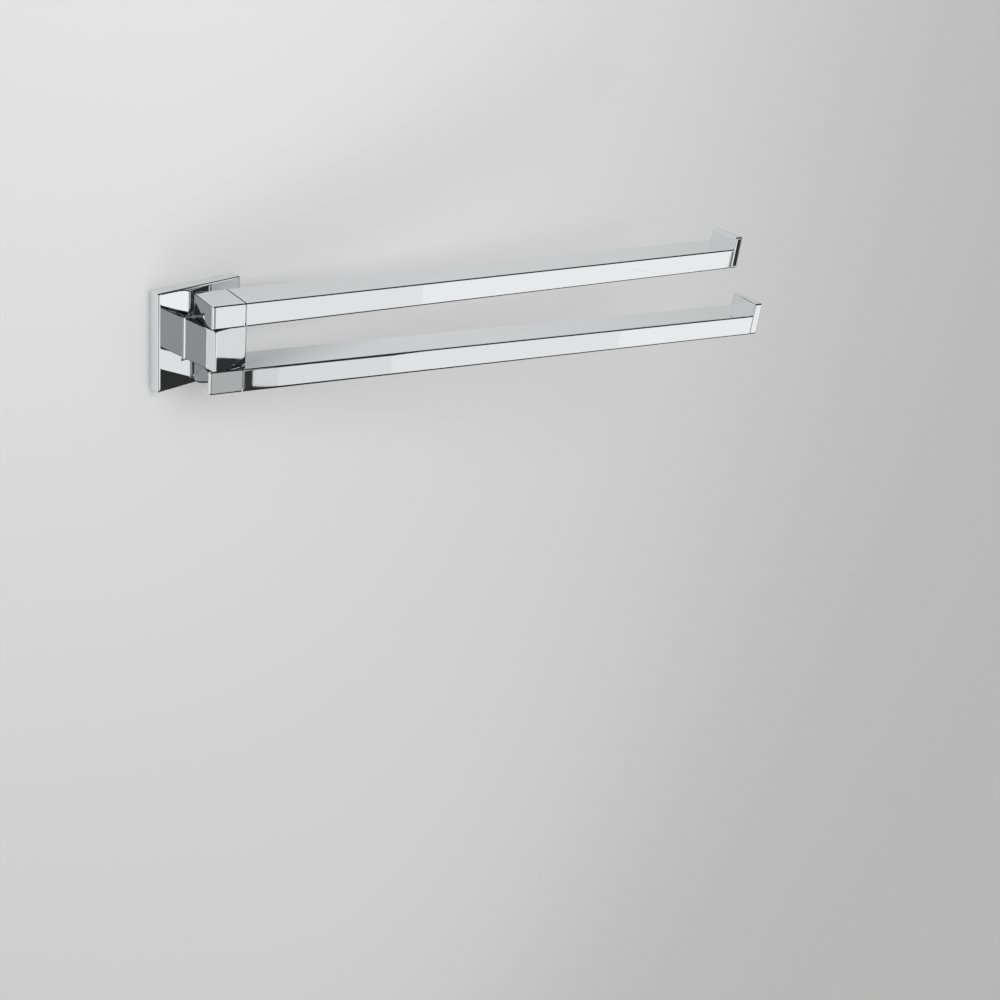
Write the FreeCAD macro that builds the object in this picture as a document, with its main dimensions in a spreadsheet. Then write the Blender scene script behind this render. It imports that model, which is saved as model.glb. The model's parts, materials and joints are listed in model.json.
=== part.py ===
"""Swing arm towel bar: two flat bars that swing on one pivot pin in front of a square wall plate.

Frame: the origin is the centre of the wall face, +X runs to the right along the wall, +Y points into
the wall and +Z points up. Both arms stand partly swung out, the lower one further than the upper one.
"""
import FreeCAD, Part
import math
import os

import Sketcher

V = FreeCAD.Vector
Y_AXIS, Z_AXIS = V(0, 1, 0), V(0, 0, 1)

# Driving dimensions in millimetres and degrees: alias, value, what it is
SIZES = (
    ("plate_width", 52, "width of the square wall plate"),
    ("plate_height", 52, "height of the wall plate"),
    ("plate_depth", 6.6, "how far the wall plate stands off the wall"),
    ("plate_wall", 2.5, "thickness of the four side walls of the wall plate"),
    ("plate_front", 2, "thickness of the front wall of the wall plate"),
    ("plate_edge", 0.5, "rounding of the outer edges of the wall plate"),
    ("bracket_width", 42, "width and height of the steel bracket behind the wall plate"),
    ("bracket_depth", 4.2, "thickness of the bracket"),
    ("bracket_recess", 10.8, "radius of the round recess in the front of the bracket"),
    ("bracket_web", 1.8, "thickness left behind that recess"),
    ("wall_hole_radius", 2.5, "radius of the two wall screw holes"),
    ("wall_hole_spacing", 32, "distance between the two wall screw holes"),
    ("neck_width", 20.6, "width of the block that carries the pivot"),
    ("neck_height", 21.2, "height of the block between the two knuckles"),
    ("neck_reach", 23.3, "how far the block stands out of the wall plate"),
    ("pivot_setback", 9.4, "distance of the pivot behind the front of the block"),
    ("neck_corner", 0.7, "rounding of the upright front corners of the block"),
    ("neck_edge", 0.3, "rounding of the top and bottom edges of the block"),
    ("root_fillet", 1.4, "hollow fillet where the block meets the wall plate"),
    ("foot_rim", 0.1, "flat rim outside that fillet"),
    ("foot_thickness", 0.15, "thickness of the rim"),
    ("pin_radius", 4, "radius of the pivot pin"),
    ("pin_fit", 0.01, "radial clearance of the pin in the block"),
    ("pin_end_gap", 0.3, "gap between each end of the pin and its blind bore"),
    ("groove_radius", 3, "radius of the pin inside its two retaining grooves"),
    ("groove_width", 3, "width of each retaining groove"),
    ("bush_wall", 1.45, "wall of the nylon bush in each knuckle"),
    ("bush_running_fit", 0.05, "radial clearance between the bush and the pin"),
    ("bush_seat_fit", 0.01, "radial clearance between the bush and the knuckle"),
    ("bush_inset", 0.1, "how far the bush lies inside the open face of the knuckle"),
    ("bore_depth", 10.5, "depth of the blind bore in each knuckle"),
    ("knuckle_gap", 0.3, "gap between the block and each knuckle"),
    ("washer_radius", 7.5, "outer radius of the friction washers"),
    ("washer_bore_gap", 0.4, "radial gap between the washer and the pin"),
    ("washer_seat_gap", 0.05, "radial gap between the washer and its recess"),
    ("washer_recess", 0.6, "depth of the recess that holds the washer"),
    ("washer_float", 0.05, "gap between the washer and the knuckle that rides over it"),
    ("bar_height", 12.5, "height of each flat bar"),
    ("bar_depth", 22, "depth of each flat bar"),
    ("bar_wall", 1.5, "wall of each flat bar"),
    ("bar_edge", 0.6, "rounding of the edges of the bars and knuckles"),
    ("arm_reach", 356, "distance from the pivot to the outer face of the end plate"),
    ("knuckle_rear", 8.6, "length of the knuckle behind the pivot"),
    ("knuckle_front", 8.65, "length of the knuckle ahead of the pivot"),
    ("knuckle_corner", 1.6, "rounding of the upright rear corners of the knuckle"),
    ("tongue_length", 14, "length of the knuckle's tongue inside the bar"),
    ("end_tongue_length", 9, "length of the end plate's tongue inside the bar"),
    ("tongue_fit", 0.1, "clearance of both tongues in the bar"),
    ("end_thickness", 6, "thickness of the end plate"),
    ("end_lip", 7.8, "how far the end plate stands above the bar"),
    ("end_edge", 0.6, "rounding of the edges of the end plate"),
    ("grub_radius", 2, "radius of the set screws in the bars"),
    ("grub_length", 5, "length of the set screws in the bars"),
    ("small_grub_radius", 1.5, "radius of the set screw in the wall plate and of the retaining screws"),
    ("dog_radius", 1.2, "radius of the plain tip of the retaining and lock screws"),
    ("dog_gap", 0.3, "gap between that tip and what it enters"),
    ("lock_depth", 1, "depth of the hole in the pin that takes the lock screw"),
    ("neck_screw_radius", 2, "radius of the two screws from the wall plate into the block"),
    ("neck_screw_depth", 8, "how deep those screws reach into the block"),
    ("neck_screw_offset", 6.6, "height of each of those screws above or below the middle"),
    ("neck_head_radius", 3.5, "radius of their low heads"),
    ("neck_head_height", 1.8, "height of their low heads"),
    ("thread_gap", 0.05, "radial clearance between a screw and its hole"),
    ("screw_inset", 0.3, "how far a set screw lies below the surface"),
    ("socket_share", 0.55, "circumradius of a hexagon socket as a share of the screw's radius"),
    ("upper_swing", 15.3, "angle of the upper arm out from the wall, in degrees"),
    ("lower_swing", 20, "angle of the lower arm out from the wall, in degrees"),
)

# Lengths that follow from the driving dimensions, as expressions over the sheet
PIVOT_DISTANCE = "(sheet.plate_depth + sheet.neck_reach - sheet.pivot_setback)"
ARM_HEIGHT = "(sheet.neck_height / 2 + sheet.knuckle_gap + sheet.bar_height / 2)"
BUSH_BORE = "(sheet.pin_radius + sheet.bush_running_fit)"
BUSH_OUTSIDE = "(sheet.pin_radius + sheet.bush_running_fit + sheet.bush_wall)"
BAR_LENGTH = "(sheet.arm_reach - sheet.end_thickness - sheet.knuckle_front)"
BAR_SCREW_X = "(sheet.knuckle_front + sheet.tongue_length / 2)"
END_SCREW_X = "(sheet.arm_reach - sheet.end_thickness - sheet.end_tongue_length / 2)"
HALF_BAR = "(sheet.bar_height / 2)"
HALF_DEPTH = "(sheet.bar_depth / 2)"
GRUB_HOLE = "(sheet.grub_radius + sheet.thread_gap)"
SMALL_GRUB_HOLE = "(sheet.small_grub_radius + sheet.thread_gap)"

TOLERANCE = 1e-4

# The knuckle of each arm opens towards the block: downwards on the upper arm, upwards on the lower one
ARMS = {"upper": 1, "lower": -1}

doc = FreeCAD.newDocument("swing_arm_towel_bar")
sheet = doc.addObject("Spreadsheet::Sheet", "sheet")
nodes = []


def fill_sheet():
    """Write every driving dimension into the spreadsheet under its alias."""
    for row, (alias, value, meaning) in enumerate(SIZES, start=1):
        sheet.set(f"A{row}", meaning)
        sheet.set(f"B{row}", str(value))
        sheet.setAlias(f"B{row}", alias)
    doc.recompute()


def size(alias):
    """The value of one driving dimension."""
    return float(sheet.get(alias))


def bind(thing, **expressions):
    """Bind properties of an object to expressions over the sheet."""
    for name, expression in expressions.items():
        thing.setExpression(name, str(expression))


def place(thing, x="0", y="0", z="0"):
    """Bind the position of an object."""
    thing.setExpression(".Placement.Base.x", x)
    thing.setExpression(".Placement.Base.y", y)
    thing.setExpression(".Placement.Base.z", z)


def keep(thing, name):
    """Name a finished piece and list it as a node."""
    thing.Label = name
    nodes.append(thing)
    return thing


def hang_on_pivot(thing, arm):
    """Turn a piece that lies along +X about the pivot, and lift it to its arm's height."""
    sign = "" if ARMS[arm] > 0 else "-"
    thing.Placement = FreeCAD.Placement(V(0, 0, 0), FreeCAD.Rotation(Z_AXIS, -size(f"{arm}_swing")))
    place(thing, "0", f"-{PIVOT_DISTANCE}", f"{sign}{ARM_HEIGHT}")
    thing.setExpression(".Placement.Rotation.Angle", f"-sheet.{arm}_swing * 1 deg")


# ---------------------------------------------------------------- sketches and features


def plane_of(body, role):
    """One of a body's own origin planes."""
    return next(item for item in body.Origin.OriginFeatures if item.Role == role)


def new_sketch(body, name, role, offset):
    """An empty sketch on an origin plane of the body, moved along its normal."""
    sketch = body.newObject("Sketcher::SketchObject", name)
    sketch.AttachmentSupport = [(plane_of(body, role), "")]
    sketch.MapMode = "FlatFace"
    sketch.setExpression(".AttachmentOffset.Base.z", offset)
    return sketch


def rectangle(body, name, role, left, right, bottom, top, offset="0"):
    """A sketched rectangle whose four sides are bound to expressions."""
    sketch = new_sketch(body, name, role, offset)
    corners = [V(-1, -1, 0), V(1, -1, 0), V(1, 1, 0), V(-1, 1, 0)]
    for index in range(4):
        sketch.addGeometry(Part.LineSegment(corners[index], corners[(index + 1) % 4]), False)
    for index in range(4):
        sketch.addConstraint(Sketcher.Constraint("Coincident", index, 2, (index + 1) % 4, 1))
    for index in (0, 2):
        sketch.addConstraint(Sketcher.Constraint("Horizontal", index))
        sketch.addConstraint(Sketcher.Constraint("Vertical", index + 1))
    sides = (
        ("left", "DistanceX", 0, left, -1),
        ("bottom", "DistanceY", 0, bottom, -1),
        ("right", "DistanceX", 2, right, 1),
        ("top", "DistanceY", 2, top, 1),
    )
    for label, kind, line, expression, start in sides:
        index = sketch.addConstraint(Sketcher.Constraint(kind, -1, 1, line, 1, start))
        sketch.renameConstraint(index, label)
        sketch.setExpression(f"Constraints.{label}", expression)
    return sketch


def circles(body, name, role, radius, centres, offset="0"):
    """Sketched circles of one radius, each centre a pair of expressions."""
    sketch = new_sketch(body, name, role, offset)
    for index, (across, up) in enumerate(centres):
        sketch.addGeometry(Part.Circle(V(index, index, 0), Z_AXIS, 1), False)
        dimensions = (
            (f"radius{index}", Sketcher.Constraint("Radius", index, 1), radius),
            (f"across{index}", Sketcher.Constraint("DistanceX", -1, 1, index, 3, 1), across),
            (f"up{index}", Sketcher.Constraint("DistanceY", -1, 1, index, 3, 1), up),
        )
        for label, constraint, expression in dimensions:
            number = sketch.addConstraint(constraint)
            sketch.renameConstraint(number, label)
            sketch.setExpression(f"Constraints.{label}", expression)
    return sketch


def pad(body, name, sketch, length, reversed_way=False):
    """Raise a sketch along its normal."""
    feature = body.newObject("PartDesign::Pad", name)
    feature.Profile = sketch
    feature.Reversed = reversed_way
    bind(feature, Length=length)
    doc.recompute()
    return feature


def pocket(body, name, sketch, length, reversed_way=False, both_ways=False):
    """Cut a sketch out of the body, and stop if it takes nothing away."""
    before = body.Shape.Volume
    feature = body.newObject("PartDesign::Pocket", name)
    feature.Profile = sketch
    feature.Reversed = reversed_way
    feature.Midplane = both_ways
    bind(feature, Length=length)
    doc.recompute()
    if body.Shape.Volume > before - TOLERANCE:
        raise RuntimeError(f"{body.Label}: {name} cuts nothing")
    return feature


def straight_edges(shape, wanted):
    """Names of the straight edges of a shape whose midpoint and direction pass a test."""
    names = []
    for number, edge in enumerate(shape.Edges, start=1):
        if edge.Curve.TypeId != "Part::GeomLine":
            continue
        start, end = edge.Vertexes[0].Point, edge.Vertexes[-1].Point
        if wanted((start + end) / 2, (end - start).normalize()):
            names.append(f"Edge{number}")
    return names


def round_edges(body, name, radius, wanted):
    """Round the straight edges that pass a test, and stop if there are none."""
    base = body.Tip
    names = straight_edges(base.Shape, wanted)
    if not names:
        raise RuntimeError(f"{body.Label}: {name} finds no edge")
    feature = body.newObject("PartDesign::Fillet", name)
    feature.Base = (base, names)
    bind(feature, Radius=radius)
    doc.recompute()
    return feature


def near(value, target):
    """Whether a coordinate lies on a plane."""
    return abs(value - target) < TOLERANCE


def along(direction, axis):
    """Whether an edge runs along an axis."""
    return abs(direction.dot(axis)) > 1 - TOLERANCE


# ---------------------------------------------------------------- primitives


def cylinder(name, radius, height, axis=Z_AXIS, x="0", y="0", z="0"):
    """A cylinder that starts at a point and runs along an axis."""
    thing = doc.addObject("Part::Cylinder", name)
    thing.Placement = FreeCAD.Placement(V(0, 0, 0), FreeCAD.Rotation(Z_AXIS, axis))
    bind(thing, Radius=radius, Height=height)
    place(thing, x, y, z)
    return thing


def hexagon(name, circumradius, height, axis=Z_AXIS, x="0", y="0", z="0"):
    """A hexagonal prism that starts at a point and runs along an axis."""
    thing = doc.addObject("Part::Prism", name)
    thing.Polygon = 6
    thing.Placement = FreeCAD.Placement(V(0, 0, 0), FreeCAD.Rotation(Z_AXIS, axis))
    bind(thing, Circumradius=circumradius, Height=height)
    place(thing, x, y, z)
    return thing


def cut(name, base, *tools):
    """Take tools away from a base, one after the other."""
    for number, tool in enumerate(tools, start=1):
        result = doc.addObject("Part::Cut", name if number == len(tools) else f"{name}_cut{number}")
        result.Base = base
        result.Tool = tool
        base = result
    return base


def fuse(name, *shapes):
    """Join shapes that touch or overlap."""
    result = doc.addObject("Part::MultiFuse", name)
    result.Shapes = list(shapes)
    return result


def ring(name, outside, inside, height, z="0"):
    """An upright ring about the Z axis."""
    outer = cylinder(f"{name}_outer", outside, height, z=z)
    inner = cylinder(f"{name}_inner", inside, height, z=z)
    return cut(name, outer, inner)


def socket_screw(name, radius, length, axis, start, tip_radius=None, tip_length=None):
    """A set screw with a hexagon socket in its outer end, and a plain tip if one is asked for.

    start holds the expressions of the centre of its outer end, and axis is the way it is driven.
    """
    ends = dict(zip("xyz", start))
    body = cylinder(f"{name}_thread", radius, length, axis, **ends)
    if tip_radius:
        tip = cylinder(f"{name}_tip", tip_radius, f"{length} + {tip_length}", axis, **ends)
        body = fuse(f"{name}_blank", body, tip)
    socket = hexagon(f"{name}_socket", f"{radius} * sheet.socket_share", radius, axis, **ends)
    return cut(name, body, socket)


# ---------------------------------------------------------------- wall side


def make_wall_bracket():
    """The steel bracket that the wall screws hold, hidden by the wall plate."""
    body = doc.addObject("PartDesign::Body", "wall_bracket")
    half = "sheet.bracket_width / 2"
    outline = rectangle(body, "bracket_outline", "XZ_Plane", f"-{half}", half, f"-{half}", half)
    pad(body, "bracket_pad", outline, "sheet.bracket_depth")
    recess = circles(
        body, "bracket_recess", "XZ_Plane", "sheet.bracket_recess", [("0", "0")], "sheet.bracket_depth"
    )
    pocket(body, "bracket_recess_cut", recess, "sheet.bracket_depth - sheet.bracket_web")
    rise = "sheet.wall_hole_spacing / 2"
    centres = [("0", rise), ("0", f"-{rise}")]
    holes = circles(body, "wall_holes", "XZ_Plane", "sheet.wall_hole_radius", centres)
    pocket(body, "wall_holes_cut", holes, "sheet.bracket_depth", True)
    return keep(body, "wall_bracket")


def make_wall_plate():
    """The hollow square plate that covers the bracket and carries the block."""
    body = doc.addObject("PartDesign::Body", "wall_plate")
    wide, high = "sheet.plate_width / 2", "sheet.plate_height / 2"
    outline = rectangle(body, "plate_outline", "XZ_Plane", f"-{wide}", wide, f"-{high}", high)
    pad(body, "plate_pad", outline, "sheet.plate_depth")
    front, side, top = -size("plate_depth"), size("plate_width") / 2, size("plate_height") / 2

    def outer_edge(middle, direction):
        on_side, on_top = near(abs(middle.x), side), near(abs(middle.z), top)
        return (near(middle.y, front) and (on_side or on_top)) or (on_side and on_top)

    round_edges(body, "plate_rounding", "sheet.plate_edge", outer_edge)
    wide, high = f"({wide} - sheet.plate_wall)", f"({high} - sheet.plate_wall)"
    hollow = rectangle(body, "plate_hollow", "XZ_Plane", f"-{wide}", wide, f"-{high}", high)
    pocket(body, "plate_hollow_cut", hollow, "sheet.plate_depth - sheet.plate_front", True)
    radius = "sheet.neck_screw_radius + sheet.thread_gap"
    centres = [("0", "sheet.neck_screw_offset"), ("0", "-sheet.neck_screw_offset")]
    holes = circles(body, "neck_screw_holes", "XZ_Plane", radius, centres)
    pocket(body, "neck_screw_holes_cut", holes, "sheet.plate_depth", True)
    centres = [("0", "-sheet.bracket_depth / 2")]
    hole = circles(body, "set_screw_hole", "XY_Plane", SMALL_GRUB_HOLE, centres, "-sheet.plate_height / 2")
    pocket(body, "set_screw_hole_cut", hole, "sheet.plate_wall", True)
    return keep(body, "wall_plate")


def make_plate_set_screw():
    """The set screw in the underside of the wall plate, which bears on the bracket's lower edge."""
    length = "(sheet.plate_height / 2 - sheet.screw_inset - sheet.bracket_width / 2)"
    start = ("0", "-sheet.bracket_depth / 2", "-(sheet.plate_height / 2 - sheet.screw_inset)")
    return keep(
        socket_screw("plate_set_screw", "sheet.small_grub_radius", length, Z_AXIS, start), "plate_set_screw"
    )


def make_neck_block():
    """The block that stands out of the wall plate and holds the pivot pin upright."""
    body = doc.addObject("PartDesign::Body", "neck_block")
    wide, high = "(sheet.neck_width / 2)", "(sheet.neck_height / 2)"
    rim = "(sheet.root_fillet + sheet.foot_rim)"
    foot = rectangle(
        body, "foot_outline", "XZ_Plane",
        f"-({wide} + {rim})", f"({wide} + {rim})", f"-({high} + {rim})", f"({high} + {rim})",
        "sheet.plate_depth",
    )
    pad(body, "foot_pad", foot, "sheet.foot_thickness")
    outline = rectangle(
        body, "neck_outline", "XZ_Plane", f"-{wide}", wide, f"-{high}", high, "sheet.plate_depth"
    )
    pad(body, "neck_pad", outline, "sheet.neck_reach")
    top = size("neck_height") / 2
    root = -size("plate_depth") - size("foot_thickness")
    front = -size("plate_depth") - size("neck_reach")
    inside_rim = size("neck_width") / 2 + size("root_fillet")

    def front_corner(middle, direction):
        return near(middle.y, front) and along(direction, Z_AXIS)

    def rim_edge(middle, direction):
        return near(abs(middle.z), top) and middle.y < root - TOLERANCE

    def root_edge(middle, direction):
        return near(middle.y, root) and abs(middle.x) < inside_rim and abs(middle.z) < top + TOLERANCE

    round_edges(body, "neck_corners", "sheet.neck_corner", front_corner)
    round_edges(body, "neck_edges", "sheet.neck_edge", rim_edge)
    round_edges(body, "neck_root", "sheet.root_fillet", root_edge)
    pivot = [("0", f"-{PIVOT_DISTANCE}")]
    bore = circles(body, "pin_bore", "XY_Plane", "sheet.pin_radius + sheet.pin_fit", pivot)
    pocket(body, "pin_bore_cut", bore, "sheet.neck_height * 2", False, True)
    seat = "sheet.washer_radius + sheet.washer_seat_gap"
    upper_seat = circles(body, "upper_seat", "XY_Plane", seat, pivot, high)
    pocket(body, "upper_seat_cut", upper_seat, "sheet.washer_recess")
    lower_seat = circles(body, "lower_seat", "XY_Plane", seat, pivot, f"-{high}")
    pocket(body, "lower_seat_cut", lower_seat, "sheet.washer_recess", True)
    radius = "sheet.neck_screw_radius + sheet.thread_gap"
    centres = [("0", "sheet.neck_screw_offset"), ("0", "-sheet.neck_screw_offset")]
    holes = circles(body, "tapped_holes", "XZ_Plane", radius, centres, "sheet.plate_depth")
    pocket(body, "tapped_holes_cut", holes, "sheet.neck_screw_depth", True)
    hole = circles(body, "lock_hole", "XZ_Plane", SMALL_GRUB_HOLE, [("0", "0")], "sheet.plate_depth")
    pocket(body, "lock_hole_cut", hole, f"{PIVOT_DISTANCE} - sheet.plate_depth", True)
    return keep(body, "neck_block")


def make_neck_screws():
    """The two screws that pull the block onto the wall plate, driven from inside the plate."""
    seat = "(sheet.plate_depth - sheet.plate_front)"
    screws = []
    for side, sign in (("top", ""), ("bottom", "-")):
        rise = f"{sign}sheet.neck_screw_offset"
        head_start = f"-({seat} - sheet.neck_head_height)"
        head = cylinder(
            f"neck_head_{side}", "sheet.neck_head_radius", "sheet.neck_head_height",
            -Y_AXIS, "0", head_start, rise,
        )
        length = "sheet.plate_front + sheet.neck_screw_depth - sheet.screw_inset"
        shank = cylinder(
            f"neck_shank_{side}", "sheet.neck_screw_radius", length, -Y_AXIS, "0", f"-{seat}", rise
        )
        socket = hexagon(
            f"neck_socket_{side}", "sheet.neck_head_radius * sheet.socket_share",
            "sheet.neck_head_height * sheet.socket_share", -Y_AXIS, "0", head_start, rise,
        )
        screws.append(cut(f"neck_screw_{side}", fuse(f"neck_blank_{side}", head, shank), socket))
    group = doc.addObject("Part::Compound", "neck_screws")
    group.Links = screws
    return keep(group, "neck_screws")


def make_pivot_pin():
    """The upright pin that is locked in the block and reaches into both knuckles."""
    reach = "(sheet.neck_height / 2 + sheet.knuckle_gap + sheet.bore_depth - sheet.pin_end_gap)"
    blank = cylinder("pin_blank", "sheet.pin_radius", f"{reach} * 2", z=f"-{reach}")
    rings = []
    for arm, side in ARMS.items():
        sign = "" if side > 0 else "-"
        bottom = f"{sign}{ARM_HEIGHT} - sheet.groove_width / 2"
        rings.append(
            ring(f"{arm}_groove", "sheet.pin_radius * 2", "sheet.groove_radius", "sheet.groove_width", bottom)
        )
    hole = cylinder(
        "lock_hole_tool", "sheet.dog_radius + sheet.thread_gap", "sheet.pin_radius", Y_AXIS,
        "0", "sheet.pin_radius - sheet.lock_depth", "0",
    )
    pin = cut("pivot_pin", blank, *rings, hole)
    place(pin, "0", f"-{PIVOT_DISTANCE}", "0")
    return keep(pin, "pivot_pin")


def make_pin_lock_screw():
    """The screw behind the block that locks the pin, covered by the wall plate."""
    to_pin = f"{PIVOT_DISTANCE} - sheet.plate_depth - sheet.pin_radius"
    length = f"({to_pin} - sheet.thread_gap * 2 - sheet.screw_inset)"
    tip = "(sheet.thread_gap + sheet.lock_depth)"
    start = ("0", "-(sheet.plate_depth + sheet.screw_inset)", "0")
    screw = socket_screw(
        "pin_lock_screw", "sheet.small_grub_radius", length, -Y_AXIS, start, "sheet.dog_radius", tip
    )
    return keep(screw, "pin_lock_screw")


def make_washer(arm):
    """The nylon friction washer between the block and one knuckle."""
    thickness = "(sheet.washer_recess + sheet.knuckle_gap - sheet.washer_float)"
    seat = "(sheet.neck_height / 2 - sheet.washer_recess)"
    bottom = seat if ARMS[arm] > 0 else f"-({seat} + {thickness})"
    washer = ring(
        f"{arm}_washer", "sheet.washer_radius", "sheet.pin_radius + sheet.washer_bore_gap", thickness, bottom
    )
    place(washer, "0", f"-{PIVOT_DISTANCE}", "0")
    return keep(washer, f"{arm}_washer")


# ---------------------------------------------------------------- arms, each drawn along +X from its pivot


def make_knuckle(arm):
    """The cast end of an arm, with a blind bore for the pin and a tongue that plugs into the bar."""
    body = doc.addObject("PartDesign::Body", f"{arm}_knuckle")
    outline = rectangle(
        body, f"{arm}_knuckle_outline", "XY_Plane",
        "-sheet.knuckle_rear", "sheet.knuckle_front", f"-{HALF_DEPTH}", HALF_DEPTH, f"-{HALF_BAR}",
    )
    pad(body, f"{arm}_knuckle_pad", outline, "sheet.bar_height")
    rear, front = -size("knuckle_rear"), size("knuckle_front")
    side, top = size("bar_depth") / 2, size("bar_height") / 2

    def rear_corner(middle, direction):
        return near(middle.x, rear) and along(direction, Z_AXIS)

    def other_edge(middle, direction):
        return near(middle.x, front) or near(abs(middle.z), top)

    round_edges(body, f"{arm}_knuckle_corners", "sheet.knuckle_corner", rear_corner)
    round_edges(body, f"{arm}_knuckle_edges", "sheet.bar_edge", other_edge)
    across = f"({HALF_DEPTH} - sheet.bar_wall - sheet.tongue_fit)"
    up = f"({HALF_BAR} - sheet.bar_wall - sheet.tongue_fit)"
    tongue = rectangle(
        body, f"{arm}_tongue", "YZ_Plane", f"-{across}", across, f"-{up}", up, "sheet.knuckle_front"
    )
    pad(body, f"{arm}_tongue_pad", tongue, "sheet.tongue_length")
    opens_down = ARMS[arm] > 0
    face = f"-{HALF_BAR}" if opens_down else HALF_BAR
    radius = f"{BUSH_OUTSIDE} + sheet.bush_seat_fit"
    bore = circles(body, f"{arm}_bore", "XY_Plane", radius, [("0", "0")], face)
    pocket(body, f"{arm}_bore_cut", bore, "sheet.bore_depth", opens_down)
    hole = circles(body, f"{arm}_retainer_hole", "XZ_Plane", SMALL_GRUB_HOLE, [("0", "0")], f"-{HALF_DEPTH}")
    pocket(body, f"{arm}_retainer_hole_cut", hole, HALF_DEPTH, True)
    hole = circles(
        body, f"{arm}_tongue_hole", "XY_Plane", GRUB_HOLE, [(BAR_SCREW_X, "0")], f"-{HALF_BAR}"
    )
    pocket(body, f"{arm}_tongue_hole_cut", hole, "sheet.grub_length + sheet.screw_inset", True)
    hang_on_pivot(body, arm)
    return keep(body, f"{arm}_knuckle")


def make_bush(arm):
    """The nylon bush in a knuckle's bore, with a side hole that the retaining screw passes through."""
    length = "(sheet.bore_depth - sheet.bush_inset * 2)"
    edge = f"({HALF_BAR} - sheet.bush_inset)"
    bottom = f"-{edge}" if ARMS[arm] > 0 else f"{edge} - {length}"
    tube = ring(f"{arm}_bush_tube", BUSH_OUTSIDE, BUSH_BORE, length, bottom)
    radius = "sheet.dog_radius + sheet.dog_gap"
    side_hole = cylinder(f"{arm}_bush_hole", radius, f"{BUSH_OUTSIDE} * 2", Y_AXIS)
    bush = cut(f"{arm}_bush", tube, side_hole)
    hang_on_pivot(bush, arm)
    return keep(bush, f"{arm}_bush")


def make_retaining_screw(arm):
    """The screw in the wall side of a knuckle whose plain tip runs in the pin's groove."""
    length = f"({HALF_DEPTH} - sheet.screw_inset - {BUSH_OUTSIDE} - sheet.dog_gap)"
    tip = f"({BUSH_OUTSIDE} - sheet.groove_radius)"
    start = ("0", f"{HALF_DEPTH} - sheet.screw_inset", "0")
    screw = socket_screw(
        f"{arm}_retaining_screw", "sheet.small_grub_radius", length, -Y_AXIS, start, "sheet.dog_radius", tip
    )
    hang_on_pivot(screw, arm)
    return keep(screw, f"{arm}_retaining_screw")


def make_bar(arm):
    """The flat rectangular tube that the towel hangs over."""
    body = doc.addObject("PartDesign::Body", f"{arm}_bar")
    outline = rectangle(
        body, f"{arm}_bar_outline", "YZ_Plane",
        f"-{HALF_DEPTH}", HALF_DEPTH, f"-{HALF_BAR}", HALF_BAR, "sheet.knuckle_front",
    )
    pad(body, f"{arm}_bar_pad", outline, BAR_LENGTH)
    round_edges(body, f"{arm}_bar_edges", "sheet.bar_edge", lambda middle, direction: True)
    across, up = f"({HALF_DEPTH} - sheet.bar_wall)", f"({HALF_BAR} - sheet.bar_wall)"
    hollow = rectangle(
        body, f"{arm}_bar_hollow", "YZ_Plane", f"-{across}", across, f"-{up}", up, "sheet.knuckle_front"
    )
    pocket(body, f"{arm}_bar_hollow_cut", hollow, BAR_LENGTH, True)
    centres = [(BAR_SCREW_X, "0"), (END_SCREW_X, "0")]
    holes = circles(body, f"{arm}_bar_holes", "XY_Plane", GRUB_HOLE, centres, f"-{HALF_BAR}")
    pocket(body, f"{arm}_bar_holes_cut", holes, "sheet.bar_wall", True)
    hang_on_pivot(body, arm)
    return keep(body, f"{arm}_bar")


def make_end_plate(arm):
    """The end plate, whose lip stops a towel from sliding off, with a tongue that plugs into the bar."""
    body = doc.addObject("PartDesign::Body", f"{arm}_end_plate")
    inner_face = "sheet.arm_reach - sheet.end_thickness"
    outline = rectangle(
        body, f"{arm}_end_outline", "YZ_Plane",
        f"-{HALF_DEPTH}", HALF_DEPTH, f"-{HALF_BAR}", f"{HALF_BAR} + sheet.end_lip", inner_face,
    )
    pad(body, f"{arm}_end_pad", outline, "sheet.end_thickness")
    round_edges(body, f"{arm}_end_edges", "sheet.end_edge", lambda middle, direction: True)
    across = f"({HALF_DEPTH} - sheet.bar_wall - sheet.tongue_fit)"
    up = f"({HALF_BAR} - sheet.bar_wall - sheet.tongue_fit)"
    tongue = rectangle(
        body, f"{arm}_end_tongue", "YZ_Plane", f"-{across}", across, f"-{up}", up, inner_face
    )
    pad(body, f"{arm}_end_tongue_pad", tongue, "sheet.end_tongue_length", True)
    hole = circles(
        body, f"{arm}_end_tongue_hole", "XY_Plane", GRUB_HOLE, [(END_SCREW_X, "0")], f"-{HALF_BAR}"
    )
    pocket(body, f"{arm}_end_tongue_hole_cut", hole, "sheet.grub_length + sheet.screw_inset", True)
    hang_on_pivot(body, arm)
    return keep(body, f"{arm}_end_plate")


def make_bar_screw(arm, name, along_bar):
    """A set screw in the underside of a bar that locks one of the tongues inside it."""
    start = (along_bar, "0", f"-({HALF_BAR} - sheet.screw_inset)")
    screw = socket_screw(f"{arm}_{name}", "sheet.grub_radius", "sheet.grub_length", Z_AXIS, start)
    hang_on_pivot(screw, arm)
    return keep(screw, f"{arm}_{name}")


# ---------------------------------------------------------------- the whole bar


def make_all():
    """Make every piece."""
    make_wall_bracket()
    make_wall_plate()
    make_plate_set_screw()
    make_neck_block()
    make_neck_screws()
    make_pivot_pin()
    make_pin_lock_screw()
    for arm in ARMS:
        make_washer(arm)
        make_knuckle(arm)
        make_bush(arm)
        make_retaining_screw(arm)
        make_bar(arm)
        make_end_plate(arm)
        make_bar_screw(arm, "bar_set_screw", BAR_SCREW_X)
        make_bar_screw(arm, "end_set_screw", END_SCREW_X)
    doc.recompute()


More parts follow.
